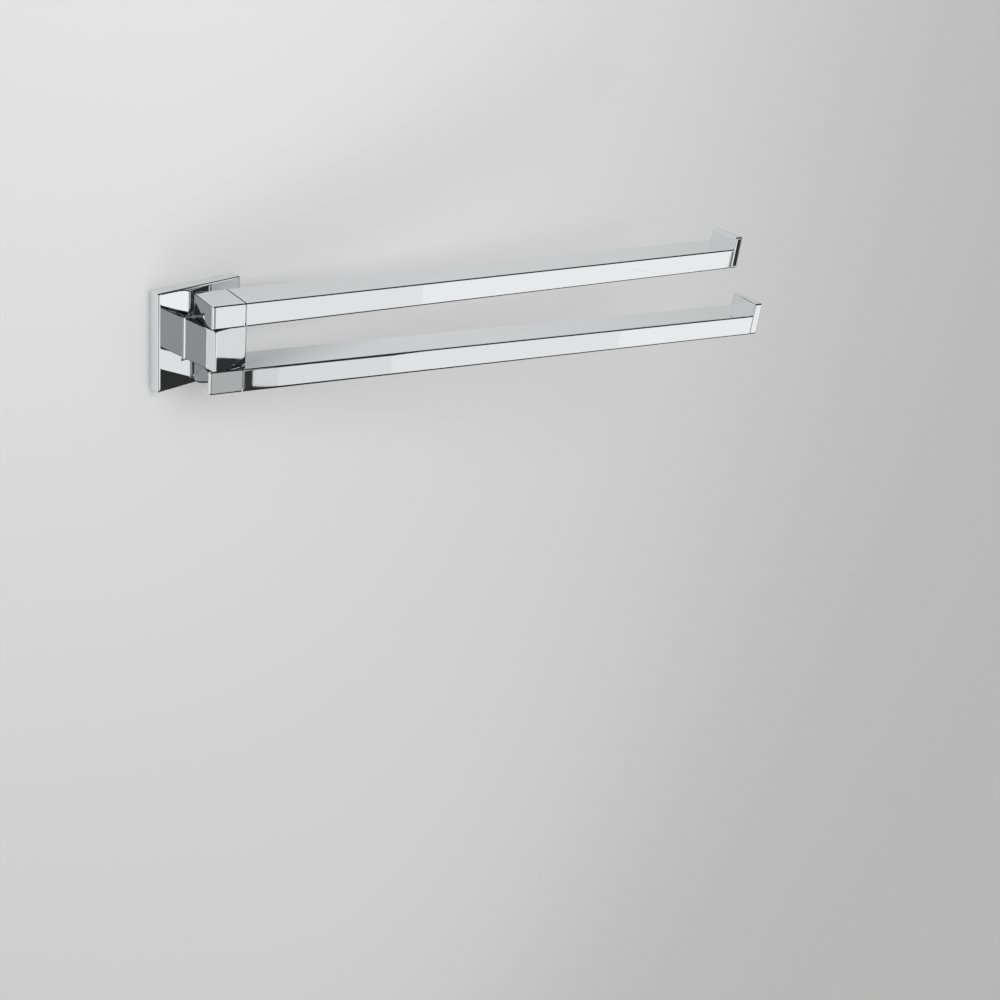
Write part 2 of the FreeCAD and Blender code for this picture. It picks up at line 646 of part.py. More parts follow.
def check_all():
    """Stop if any object failed or any piece is missing, open or broken."""
    for thing in doc.Objects:
        if "Invalid" in thing.State or "Error" in thing.State:
            raise RuntimeError(f"{thing.Name} is {thing.State}")
    for node in nodes:
        if node.Shape.isNull() or not node.Shape.isValid() or not node.Shape.Solids:
            raise RuntimeError(f"{node.Label} has no valid solid")
    rounding = size("knuckle_corner")
    corner = math.hypot(size("knuckle_rear") - rounding, size("bar_depth") / 2 - rounding) + rounding
    plate_distance = size("neck_reach") - size("pivot_setback")
    print(f"the rear of a knuckle turns within {corner:.2f} mm, wall plate {plate_distance:.2f} mm away")


def write_all():
    """Write each piece to its own STEP file."""
    os.makedirs("parts", exist_ok=True)
    for node in nodes:
        node.Shape.exportStep(f"parts/{node.Label}.step")
        box = node.Shape.optimalBoundingBox(False, False)
        low = f"{box.XMin:.2f} {box.YMin:.2f} {box.ZMin:.2f}"
        high = f"{box.XMax:.2f} {box.YMax:.2f} {box.ZMax:.2f}"
        print(f"{node.Label}: {len(node.Shape.Solids)} solid, {node.Shape.Volume:.1f} mm3, {low} to {high}")


fill_sheet()
make_all()
check_all()
write_all()
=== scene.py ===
"""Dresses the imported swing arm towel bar: chrome plated castings, tubes and screws, and the studio round it."""
import json
import math

import bmesh
import bpy
from bpy.props import FloatProperty, IntProperty, PointerProperty, StringProperty
from mathutils import Matrix, Vector


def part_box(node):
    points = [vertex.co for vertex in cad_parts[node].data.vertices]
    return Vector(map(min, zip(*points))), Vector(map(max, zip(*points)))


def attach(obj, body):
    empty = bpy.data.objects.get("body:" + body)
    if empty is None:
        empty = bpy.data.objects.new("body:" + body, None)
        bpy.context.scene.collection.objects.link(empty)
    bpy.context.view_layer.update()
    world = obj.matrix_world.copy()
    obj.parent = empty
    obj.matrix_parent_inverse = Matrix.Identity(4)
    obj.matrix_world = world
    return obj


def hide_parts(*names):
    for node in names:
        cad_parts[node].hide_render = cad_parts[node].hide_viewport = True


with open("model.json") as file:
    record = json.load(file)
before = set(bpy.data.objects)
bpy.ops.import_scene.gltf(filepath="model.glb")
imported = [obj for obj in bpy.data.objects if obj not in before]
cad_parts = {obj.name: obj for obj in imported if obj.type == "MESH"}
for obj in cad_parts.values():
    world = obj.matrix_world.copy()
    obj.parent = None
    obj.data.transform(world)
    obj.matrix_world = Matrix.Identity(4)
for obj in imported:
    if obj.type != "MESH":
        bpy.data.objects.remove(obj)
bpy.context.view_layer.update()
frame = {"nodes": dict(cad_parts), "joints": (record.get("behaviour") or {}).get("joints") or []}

bl_info = {
    "name": "Swing arm towel bar",
    "version": (1, 0, 0),
    "blender": (4, 5, 0),
    "location": "View3D > Sidebar > Towel bar",
    "description": "Builds the visible pieces of a wall mounted towel bar with two swinging arms",
    "category": "Object",
}

MM = 0.001
ARMS = {"upper": 1, "lower": -1}
PIVOT = {joint["child"]: Vector(joint["pos_m"]) for joint in frame["joints"]}
SWING = {joint["child"]: math.radians(-joint["range_deg"][0]) for joint in frame["joints"]}
PLATE_LOW, PLATE_HIGH = (Vector(corner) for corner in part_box("wall_plate"))
NECK_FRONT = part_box("neck_block")[0][1]
ROOT_STEPS = 10  # segments across the hollow fillet at the plate
EDGE_STEPS = 18  # segments across a polished edge
EDGE_PROFILE = 0.76  # a tight edge with a long roll-off on both sides, where 0.5 is a plain quarter round
CORNER_STEPS = 12  # segments round an upright corner
HOLE_STEPS = 48  # sides of a drilled hole
SMOOTH_ANGLE = math.radians(32)  # faces that meet at less than this are shaded as one surface
SAME_PLACE = 1e-6  # two heights or directions closer than this count as one
MERGE = 1e-7  # vertices closer than this are joined
HALF_MM = 0.5 * MM
CHROME, STEEL = "polished_chrome_plate", "stainless_screw_steel"

ROOM_SIDE, ROOM_DEPTH = 9.0, 6.0  # how far the backdrop reaches to each side and into the room
ROOM_FLOOR, ROOM_TOP = -7.0, 2.5  # its heights from the middle of the fitting
LAMPS = (  # name, watts, side of the square lamp, place, and its tilt up from straight down in degrees
    ("key", 2.5, 0.5, (-0.03, -0.62, 0.34), 90),
    ("low", 1.0, 0.35, (0.22, -0.7, -0.6), 120),
)
CAMERA_PLACE = (-0.41343, -0.48964, 0.24404)
CAMERA_TURN = (-55.2096, 27.0521, 7.7342)  # degrees: turn from straight at the wall, tilt down and roll
LENS_MM, SENSOR_MM = 47.1765, 36.0
TENT_RADIUS, SCREEN_RADIUS = 30.0, 29.4
SCREEN_STEP = 4.0  # degrees a facet of a screen spans
TENT = ("tent", (-180, 180, -90, 90), 0.03)
# The screens that the chrome mirrors: left and right edge in degrees from straight out of the wall, lower and upper
# edge in degrees above the horizon, and brightness. They stand where the bright, grey and dark stretches on each
# face call for them; what is left open shows the dark tent.
SOFT_BOXES = (
    ("left_box", (-150, -75, -26, -9), 0.95),
    ("left_box_near", (-75, -58, -26, -9), 1.1),
    ("grey_screen", (-58, -0.2, -27, -10), 0.33),
    ("grey_screen_front", (-0.2, 2.6, -27, -10), 0.46),
    ("front_edge", (3.0, 4.2, -23.1, -20.8), 0.72),
    ("front_edge_right", (4.2, 9.5, -23.33, -20.8), 0.79),
    ("front_box", (9.5, 20, -23.4, -10), 0.86),
    ("front_box_right", (20, 34.5, -23.4, -16.2), 0.93),
    ("front_box_right_upper", (20, 33.66, -16.2, -10), 0.93),
    ("right_strip", (34.5, 38, -21.95, -16.2), 0.93),
    ("right_strip_far", (38, 54, -21.95, 15), 0.77),
    ("right_box", (100, 150, -26, -9), 0.9),
    ("overhead", (-180, 180, 76, 90), 0.42),
    ("underneath", (-180, 180, -90, -82), 0.15),
)


# ---------------------------------------------------------------- sizes and colours a user may change


def length(meaning, millimetres, name):
    """A length property, given in millimetres and kept in metres."""
    return FloatProperty(
        name=name, description=meaning, default=millimetres * MM, min=0.0, precision=5, unit="LENGTH"
    )


class PlateSizes(bpy.types.PropertyGroup):
    """Sizes of the hollow wall plate."""

    width: length("Width of the plate along the wall", (PLATE_HIGH.x - PLATE_LOW.x) / MM, "Width")
    height: length("Height of the plate", (PLATE_HIGH.z - PLATE_LOW.z) / MM, "Height")
    depth: length("How far the plate stands off the wall", -PLATE_LOW.y / MM, "Depth")
    side_wall: length("Thickness of its four sides", 2.5, "Side wall")
    front_wall: length("Thickness of its front", 2.0, "Front wall")
    edge: length("Reach of the polished front edges", 2.4, "Front edges")
    side_edge: length("Reach of the polished corners of the sides", 1.2, "Side corners")
    back_edge: length("Reach of the outer edges against the wall", 0.6, "Back edges")
    set_screw_depth: length("Distance of the set screw from the wall", 2.1, "Set screw place")
    set_screw_hole: length("Radius of the set screw's hole", 1.55, "Set screw hole")


class NeckSizes(bpy.types.PropertyGroup):
    """Sizes of the block that carries the pivot."""

    width: length("Width of the block", 20.6, "Width")
    height: length("Height of the block", 21.2, "Height")
    corner: length("Reach of the polished front corners", 2.0, "Front corners")
    edge: length("Reach of the polished top and bottom edges", 0.8, "Top and bottom edges")
    root: length("Radius of the hollow fillet at the plate", 1.4, "Root fillet")
    rim: length("Width of the rim outside the fillet", 0.1, "Rim width")
    rim_thickness: length("Thickness of that rim", 0.15, "Rim thickness")
    seat: length("Radius of the washer's recess", 7.55, "Washer recess")
    seat_depth: length("Depth of the washer's recess", 0.6, "Washer recess depth")
    pin_hole: length("Radius of the hole for the pivot pin", 4.01, "Pin hole")


class ArmSizes(bpy.types.PropertyGroup):
    """Sizes of both arms, measured from the pivot along the arm."""

    depth: length("Depth of the flat bar and the knuckle", 22.0, "Depth")
    height: length("Height of the flat bar and the knuckle", 12.5, "Height")
    wall: length("Wall of the tube", 1.5, "Tube wall")
    edge: length("Reach of the polished edges of the tube and knuckle", 1.6, "Edges")
    rim: length("Reach of the edges on both sides of the joint line", 0.2, "Rims")
    knuckle_rear: length("Length of the knuckle behind the pivot", 8.6, "Knuckle behind pivot")
    knuckle_front: length("Length of the knuckle ahead of the pivot", 8.65, "Knuckle ahead of pivot")
    knuckle_corner: length("Rounding of the knuckle's rear corners", 1.6, "Knuckle corner")
    joint_line: length("Width of the dark line where the tube starts", 0.65, "Joint line")
    tongue: length("Length of the knuckle's tongue in the tube", 14.0, "Tongue")
    end_tongue: length("Length of the end plate's tongue in the tube", 9.0, "End tongue")
    tongue_fit: length("Clearance of the tongues in the tube", 0.1, "Tongue clearance")
    reach: length("Distance from the pivot to the outer face of the end plate", 356.0, "Reach")
    end_thickness: length("Thickness of the end plate", 6.0, "End plate thickness")
    end_lip: length("How far the end plate stands above the bar", 7.8, "End plate lip")
    end_edge: length("Reach of the end plate's polished edges", 1.9, "End plate edge")
    bore: length("Radius of the bore for the bush", 5.51, "Bush bore")
    bore_depth: length("Depth of the bore for the bush", 10.5, "Bush bore depth")
    retainer_hole: length("Radius of the retaining screw's hole", 1.55, "Retaining screw hole")
    grub_hole: length("Radius of the set screws' holes", 2.05, "Set screw hole")


class ScrewSizes(bpy.types.PropertyGroup):
    """Sizes of the hexagon socket screws."""

    inset: length("How far a set screw lies below the surface", 0.3, "Inset")
    socket_share: FloatProperty(
        name="Socket share", description="Circumradius of the socket as a share of the screw's radius",
        default=0.55, min=0.2, max=0.8,
    )
    chamfer: length("Chamfer at the ends of a screw", 0.18, "Chamfer")
    sides: IntProperty(name="Sides", description="Sides of a screw's round body", default=40, min=12, max=96)
    set_radius: length("Radius of the set screws in the bars", 2.0, "Set screw radius")
    set_length: length("Length of the set screws in the bars", 5.0, "Set screw length")
    small_radius: length("Radius of the plate's, the lock and the retaining screws", 1.5, "Small radius")
    tip_radius: length("Radius of the plain tip of the lock and retaining screws", 1.2, "Tip radius")
    plate_length: length("Length of the set screw in the wall plate", 4.7, "Plate screw length")
    lock_length: length("Threaded length of the pin's lock screw", 9.5, "Lock screw length")
    lock_tip: length("Length of the lock screw's plain tip", 1.05, "Lock screw tip")
    retainer_length: length("Threaded length of the retaining screws", 4.9, "Retaining screw length")
    retainer_tip: length("Length of the retaining screws' plain tip", 2.5, "Retaining screw tip")
    head_radius: length("Radius of the neck screws' low heads", 3.5, "Head radius")
    head_height: length("Height of the neck screws' low heads", 1.8, "Head height")
    shank_radius: length("Radius of the neck screws", 2.0, "Shank radius")
    shank_length: length("Length of the neck screws under the head", 9.7, "Shank length")
    spread: length("Height of each neck screw above or below the middle", 6.6, "Neck screw place")


class FinishColours(bpy.types.PropertyGroup):
    """Colours of the metals and of the nylon, as a user sees them."""

    chrome: StringProperty(name="Chrome", description="sRGB hex of the chrome plate", default="F0F1F2")
    zinc: StringProperty(name="Zinc", description="sRGB hex of the zinc plate", default="C2C5C8")
    screw: StringProperty(name="Screws", description="sRGB hex of the stainless screws", default="B4B4B3")
    pin: StringProperty(name="Pin", description="sRGB hex of the ground pin", default="C6C6C7")
    nylon: StringProperty(name="Nylon", description="sRGB hex of the natural nylon", default="E9E6DD")


class TowelBarSettings(bpy.types.PropertyGroup):
    """Everything that a user may set before building the pieces."""

    plate: PointerProperty(type=PlateSizes, name="Plate", description="Sizes of the wall plate")
    neck: PointerProperty(type=NeckSizes, name="Neck", description="Sizes of the neck block")
    arm: PointerProperty(type=ArmSizes, name="Arm", description="Sizes of the arms")
    screw: PointerProperty(type=ScrewSizes, name="Screws", description="Sizes of the screws")
    colour: PointerProperty(type=FinishColours, name="Colours", description="Colours of the finishes")


# ---------------------------------------------------------------- node and material helpers


def linear(hex_code):
    """Turns an sRGB hex value into the linear colour that a shader takes."""
    values = [int(hex_code[i : i + 2], 16) / 255 for i in (0, 2, 4)]
    return [v / 12.92 if v <= 0.04045 else ((v + 0.055) / 1.055) ** 2.4 for v in values] + [1.0]


def add_node(tree, kind, settings=(), **sockets):
    """Adds a node with its settings. A socket's value is a plain value or another node's output."""
    node = tree.nodes.new(kind)
    for name, value in dict(settings).items():
        setattr(node, name, value)
    for name, value in sockets.items():
        key = int(name[1:]) if name[1:].isdigit() else name.replace("_", " ")
        socket = node.inputs[key]
        if isinstance(value, bpy.types.NodeSocket):
            tree.links.new(value, socket)
        else:
            socket.default_value = value
    return node


def new_material(name):
    """An empty node material. Where there is one of this name already, it is cleared and used again."""
    material = bpy.data.materials.get(name) or bpy.data.materials.new(name)
    material.use_nodes = True
    material.node_tree.nodes.clear()
    return material


def polished_chrome_plate(hex_code):
    """Bright chrome plate on a polished zinc or brass casting. The buffed metal under the thin plate leaves a
    ripple of 7 mm that bends reflections by a hair, and wiping leaves patches of haze 18 mm long."""
    tree = new_material(CHROME).node_tree
    place = add_node(tree, "ShaderNodeTexCoord").outputs["Object"]
    haze = add_node(tree, "ShaderNodeTexNoise", Vector=place, Scale=1 / (18 * MM), Detail=5.0, Roughness=0.6)
    gloss = add_node(
        tree, "ShaderNodeMapRange", Value=haze.outputs["Fac"], From_Min=0.3, From_Max=0.75, To_Min=0.008, To_Max=0.026
    )
    ripple = add_node(tree, "ShaderNodeTexNoise", Vector=place, Scale=1 / (7 * MM), Detail=1.0)
    bump = add_node(tree, "ShaderNodeBump", Strength=0.03, Distance=0.02 * MM, Height=ripple.outputs["Fac"])
    metal = add_node(
        tree, "ShaderNodeBsdfPrincipled", Base_Color=linear(hex_code), Metallic=1.0,
        Roughness=gloss.outputs["Result"], Normal=bump.outputs["Normal"],
    )
    add_node(tree, "ShaderNodeOutputMaterial", Surface=metal.outputs["BSDF"])


def zinc_plated_steel(hex_code):
    """Cold rolled steel, stamped and zinc plated: a cool satin grey with a faint crystalline mottle."""
    tree = new_material("zinc_plated_steel").node_tree
    place = add_node(tree, "ShaderNodeTexCoord").outputs["Object"]
    spangle = add_node(tree, "ShaderNodeTexVoronoi", Vector=place, Scale=1 / (2.5 * MM), Randomness=1.0)
    shade = add_node(tree, "ShaderNodeMapRange", Value=spangle.outputs["Distance"], To_Min=0.82, To_Max=1.0)
    tint = add_node(
        tree, "ShaderNodeMix", {"data_type": "RGBA"}, _0=shade.outputs["Result"], _6=linear("8E9297"),
        _7=linear(hex_code),
    )
    metal = add_node(tree, "ShaderNodeBsdfPrincipled", Base_Color=tint.outputs[2], Metallic=1.0, Roughness=0.36)
    add_node(tree, "ShaderNodeOutputMaterial", Surface=metal.outputs["BSDF"])


def stainless_screw_steel(hex_code):
    """Turned stainless steel: a satin gloss that the lathe leaves uneven, in specks of 0.15 mm."""
    tree = new_material(STEEL).node_tree
    place = add_node(tree, "ShaderNodeTexCoord").outputs["Object"]
    grain = add_node(tree, "ShaderNodeTexNoise", Vector=place, Scale=1 / (0.15 * MM), Detail=2.0)
    gloss = add_node(tree, "ShaderNodeMapRange", Value=grain.outputs["Fac"], To_Min=0.22, To_Max=0.42)
    metal = add_node(
        tree, "ShaderNodeBsdfPrincipled", Base_Color=linear(hex_code), Metallic=1.0,
        Roughness=gloss.outputs["Result"],
    )
    add_node(tree, "ShaderNodeOutputMaterial", Surface=metal.outputs["BSDF"])


def ground_pin_steel(hex_code):
    """Centreless ground stainless steel: bright, with fine bands of unlike gloss round the pin."""
    tree = new_material("ground_pin_steel").node_tree
    place = add_node(tree, "ShaderNodeTexCoord").outputs["Object"]
    flat = add_node(tree, "ShaderNodeMapping", Vector=place, Scale=(1.0, 1.0, 20.0))
    grain = add_node(tree, "ShaderNodeTexNoise", Vector=flat.outputs["Vector"], Scale=1 / (2 * MM), Detail=3.0)
    gloss = add_node(tree, "ShaderNodeMapRange", Value=grain.outputs["Fac"], To_Min=0.12, To_Max=0.3)
    metal = add_node(
        tree, "ShaderNodeBsdfPrincipled", Base_Color=linear(hex_code), Metallic=1.0,
        Roughness=gloss.outputs["Result"],
    )
    add_node(tree, "ShaderNodeOutputMaterial", Surface=metal.outputs["BSDF"])


def natural_nylon(hex_code):
    """Moulded natural nylon: milky off-white with a soft sheen and faint clouds of 3 mm."""
    tree = new_material("natural_nylon").node_tree
    place = add_node(tree, "ShaderNodeTexCoord").outputs["Object"]
    cloud = add_node(tree, "ShaderNodeTexNoise", Vector=place, Scale=1 / (3 * MM), Detail=3.0)
    tint = add_node(
        tree, "ShaderNodeMix", {"data_type": "RGBA"}, _0=cloud.outputs["Fac"], _6=linear("DEDACD"),
        _7=linear(hex_code),
    )
    plastic = add_node(tree, "ShaderNodeBsdfPrincipled", Base_Color=tint.outputs[2], Roughness=0.42, IOR=1.53)
    add_node(tree, "ShaderNodeOutputMaterial", Surface=plastic.outputs["BSDF"])


# ---------------------------------------------------------------- mesh helpers


def arm_place(arm):
    """The transform from an arm's own axes, along +X from its pivot, to its place at rest."""
    body = f"{arm}_arm"
    return Matrix.Translation(PIVOT[body]) @ Matrix.Rotation(-SWING[body], 4, "Z")


def new_piece(name, mesh):
    """Links a mesh to the scene as an object that sits at the origin."""
    piece = bpy.data.objects.new(name, mesh)
    bpy.context.scene.collection.objects.link(piece)
    return piece


def to_mesh(bm, name):
    """Turns a bmesh into a mesh whose faces point outwards."""
    bmesh.ops.recalc_face_normals(bm, faces=bm.faces)
    mesh = bpy.data.meshes.new(name)
    bm.to_mesh(mesh)
    bm.free()
    return mesh


def evaluated(piece):
    """The piece's mesh with its modifiers applied."""
    bpy.context.view_layer.update()
    graph = bpy.context.evaluated_depsgraph_get()
    return bpy.data.meshes.new_from_object(piece.evaluated_get(graph), depsgraph=graph)


def apply_modifiers(piece):
    """Replaces the piece's mesh by what its modifiers make of it, and clears them."""
    mesh, old = evaluated(piece), piece.data
    piece.modifiers.clear()
    piece.data = mesh
    mesh.name = piece.name
    bpy.data.meshes.remove(old)


def extrude_outline(bm, outline, low, high):
    """Adds a closed prism over an outline of (x, y) points between two heights."""
    floor = [bm.verts.new((x, y, low)) for x, y in outline]
    roof = [bm.verts.new((x, y, high)) for x, y in outline]
    bm.faces.new(list(reversed(floor)))
    bm.faces.new(roof)
    for i, corner in enumerate(floor):
        following = (i + 1) % len(floor)
        bm.faces.new((corner, floor[following], roof[following], roof[i]))


def rectangle(left, right, front, back, radii=(0.0, 0.0, 0.0, 0.0)):
    """An outline with a rounding for each corner: left front, right front, right back, left back."""
    corners = ((left, front, 180), (right, front, 270), (right, back, 0), (left, back, 90))
    inward = ((1, 1), (-1, 1), (-1, -1), (1, -1))
    points = []
    for (x, y, start), (to_x, to_y), radius in zip(corners, inward, radii):
        if radius == 0:
            points.append((x, y))
            continue
        centre_x, centre_y = x + to_x * radius, y + to_y * radius
        for step in range(CORNER_STEPS + 1):
            turn = math.radians(start + 90 * step / CORNER_STEPS)
            points.append((centre_x + radius * math.cos(turn), centre_y + radius * math.sin(turn)))
    return points


def weigh_edges(bm, wanted, weight=1.0):
    """Marks the edges that the Bevel modifier rounds: those for which wanted(middle, direction) holds."""
    layer = bm.edges.layers.float.get("bevel_weight_edge") or bm.edges.layers.float.new("bevel_weight_edge")
    for edge in bm.edges:
        first, last = (v.co for v in edge.verts)
        if wanted((first + last) / 2, (last - first).normalized()):
            edge[layer] = weight


def near(value, target):
    """Whether two heights or directions are the same."""
    return abs(value - target) < SAME_PLACE


def polish_marked_edges(piece, reach):
    """Softens the marked edges as a buffing wheel does, over a reach times their weight."""
    bevel = piece.modifiers.new("polished_edges", "BEVEL")
    bevel.limit_method = "WEIGHT"
    bevel.width = reach
    bevel.segments = EDGE_STEPS
    bevel.profile = EDGE_PROFILE
    bevel.use_clamp_overlap = False
    low, high = (Vector(map(pick, zip(*(v.co for v in piece.data.vertices)))) for pick in (min, max))
    apply_modifiers(piece)
    for vert in piece.data.vertices:  # where different reaches meet, the modifier swells a little
        vert.co = [min(max(value, least), most) for value, least, most in zip(vert.co, low, high)]


def cylinder_between(bm, start, end, radius):
    """Adds a closed cylinder between two points."""
    axis = end - start
    turn = axis.to_track_quat("Z", "Y").to_matrix().to_4x4()
    bmesh.ops.create_cone(
        bm, cap_ends=True, segments=HOLE_STEPS, radius1=radius, radius2=radius, depth=axis.length,
        matrix=Matrix.Translation((start + end) / 2) @ turn,
    )


def cut_shape(piece, tool_mesh):
    """Cuts a closed mesh out of the piece."""
    tool = new_piece("cutting_tool", tool_mesh)
    boolean = piece.modifiers.new("cut", "BOOLEAN")
    boolean.object = tool
    boolean.solver = "EXACT"
    apply_modifiers(piece)
    bpy.data.objects.remove(tool)
    bpy.data.meshes.remove(tool_mesh)


def cut_holes(piece, holes):
    """Cuts round holes, each given by a start, an end and a radius."""
    for start, end, radius in holes:
        bm = bmesh.new()
        cylinder_between(bm, Vector(start), Vector(end), radius)
        cut_shape(piece, to_mesh(bm, "hole_tool"))


def shade_as_machined(piece):
    """Smooth rounded edges beside flats that stay optically flat, as on a polished casting."""
    piece.data.shade_smooth()
    piece.data.set_sharp_from_angle(angle=SMOOTH_ANGLE)
    weighted = piece.modifiers.new("flat_faces", "WEIGHTED_NORMAL")
    weighted.keep_sharp = True
    apply_modifiers(piece)


def dress(piece, finish, slot, body, *nodes):
    """Gives a finished piece its material, the body it rides on and the nodes it stands for. The slot argument is not
    used.
    """
    piece.data.materials.clear()
    piece.data.materials.append(bpy.data.materials[finish])
    piece.data.polygons.foreach_set("material_index", [0] * len(piece.data.polygons))
    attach(piece, body)
    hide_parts(*nodes)


# ---------------------------------------------------------------- geometry node trees


def new_tree(name, inputs, kind="NodeSocketFloat"):
    """An empty Geometry Nodes tree with a named input of one kind for each name and one for the material."""
    tree = bpy.data.node_groups.new(name, "GeometryNodeTree")
    faces = tree.interface
    faces.new_socket(name="Geometry", in_out="INPUT", socket_type="NodeSocketGeometry")
    for input_name in inputs:
        faces.new_socket(name=input_name, in_out="INPUT", socket_type=kind)
    faces.new_socket(name="Material", in_out="INPUT", socket_type="NodeSocketMaterial")
    faces.new_socket(name="Geometry", in_out="OUTPUT", socket_type="NodeSocketGeometry")
    return tree, add_node(tree, "NodeGroupInput").outputs


def finish_tree(tree, last, given):
    """Ends a tree: the last node's geometry made real, with its material set."""
    whole = add_node(tree, "GeometryNodeRealizeInstances", Geometry=last.outputs[0])
    dressed = add_node(tree, "GeometryNodeSetMaterial", Geometry=whole.outputs[0], Material=given["Material"])
    add_node(tree, "NodeGroupOutput", Geometry=dressed.outputs[0])


def run_tree(piece, tree, finish, **values):
    """Runs a tree on the piece and applies it. Inputs are set by their sockets' identifiers."""
    modifier = piece.modifiers.new(tree.name, "NODES")
    modifier.node_group = tree
    values["Material"] = bpy.data.materials[finish]
    for item in tree.interface.items_tree:
        key = item.name.replace(" ", "_")
        if item.in_out == "INPUT" and key in values:
            modifier[item.identifier] = values[key]
    apply_modifiers(piece)


def flat_tube_tree():
    """A rectangular tube along +X. Its outer edges are marked for rounding."""
    tree, given = new_tree("flat_tube", ("Start", "End", "Depth", "Height", "Wall"))

    def math_node(operation, first, second=0.0):
        return add_node(tree, "ShaderNodeMath", {"operation": operation}, _0=first, _1=second).outputs[0]

    def sweep(start, end, across, up):
        path = add_node(
            tree, "GeometryNodeCurvePrimitiveLine",
            Start=add_node(tree, "ShaderNodeCombineXYZ", X=start).outputs[0],
            End=add_node(tree, "ShaderNodeCombineXYZ", X=end).outputs[0],
        )
        section = add_node(tree, "GeometryNodeCurvePrimitiveQuadrilateral", Width=across, Height=up)
        return add_node(
            tree, "GeometryNodeCurveToMesh", Curve=path.outputs[0], Profile_Curve=section.outputs[0], Fill_Caps=True
        ).outputs[0]

    walls = math_node("MULTIPLY", given["Wall"], 2.0)
    outside = sweep(given["Start"], given["End"], given["Depth"], given["Height"])
    inside = sweep(
        math_node("SUBTRACT", given["Start"], given["Wall"]), math_node("ADD", given["End"], given["Wall"]),
        math_node("SUBTRACT", given["Depth"], walls), math_node("SUBTRACT", given["Height"], walls),
    )
    tube = add_node(tree, "GeometryNodeMeshBoolean", {"operation": "DIFFERENCE"}, Mesh_1=outside, Mesh_2=inside)
    ends = add_node(tree, "GeometryNodeInputMeshEdgeVertices").outputs

    def far_out(position, size, axis):
        across = add_node(tree, "ShaderNodeSeparateXYZ", Vector=position).outputs[axis]
        a_hair_inside = math_node("SUBTRACT", math_node("MULTIPLY", size, 0.5), 0.01 * MM)
        return math_node("GREATER_THAN", math_node("ABSOLUTE", across), a_hair_inside)

    def on_outside(position):
        return math_node("MAXIMUM", far_out(position, given["Depth"], "Y"), far_out(position, given["Height"], "Z"))

    first, last = on_outside(ends["Position 1"]), on_outside(ends["Position 2"])
    marked = add_node(
        tree, "GeometryNodeStoreNamedAttribute", {"data_type": "FLOAT", "domain": "EDGE"},
        Geometry=tube.outputs[0], Name="bevel_weight_edge", Value=math_node("MULTIPLY", first, last),
    )
    finish_tree(tree, marked, given)
    return tree


def screws_on_points_tree():
    """Puts a screw on each point of the base mesh, driven along the point's own direction."""
    tree, given = new_tree("screws_on_points", ("Screw",), "NodeSocketObject")
    screw = add_node(tree, "GeometryNodeObjectInfo", Object=given["Screw"])
    way = add_node(tree, "GeometryNodeInputNamedAttribute", {"data_type": "FLOAT_VECTOR"}, Name="drive")
    turn = add_node(tree, "FunctionNodeAlignRotationToVector", {"axis": "Z"}, Vector=way.outputs["Attribute"])
    placed = add_node(
        tree, "GeometryNodeInstanceOnPoints", Points=given["Geometry"], Instance=screw.outputs["Geometry"],
        Rotation=turn.outputs[0],
    )
    finish_tree(tree, placed, given)
    return tree


# ---------------------------------------------------------------- pieces


def settings():
    """What the user has set in the scene."""
    return bpy.context.scene.towel_bar


class TOWELBAR_OT_wall_plate(bpy.types.Operator):
    """Build the hollow square plate that stands against the wall."""

    bl_idname = "towel_bar.wall_plate"
    bl_label = "Wall plate"

    def execute(self, context):
        sizes = settings().plate
        wide, high = sizes.width / 2, sizes.height / 2
        bm = bmesh.new()
        extrude_outline(bm, rectangle(-wide, wide, -sizes.depth, 0.0), -high, high)
        weigh_edges(bm, lambda middle, way: near(middle.y, -sizes.depth))
        weigh_edges(bm, lambda middle, way: near(middle.y, 0.0), sizes.back_edge / sizes.edge)
        weigh_edges(bm, lambda middle, way: near(abs(way.y), 1), sizes.side_edge / sizes.edge)
        piece = new_piece("plate_shell", to_mesh(bm, "plate_shell"))
        polish_marked_edges(piece, sizes.edge)
        hollow = bmesh.new()
        inner_wide, inner_high = wide - sizes.side_wall, high - sizes.side_wall
        extrude_outline(
            hollow, rectangle(-inner_wide, inner_wide, -(sizes.depth - sizes.front_wall), sizes.depth),
            -inner_high, inner_high,
        )
        cut_shape(piece, to_mesh(hollow, "hollow_tool"))
        across = -sizes.set_screw_depth
        cut_holes(piece, [((0, across, -high - MM), (0, across, -inner_high + MM), sizes.set_screw_hole)])
        shade_as_machined(piece)
        dress(piece, CHROME, "chrome", "wall_mount", "wall_plate")
        return {"FINISHED"}


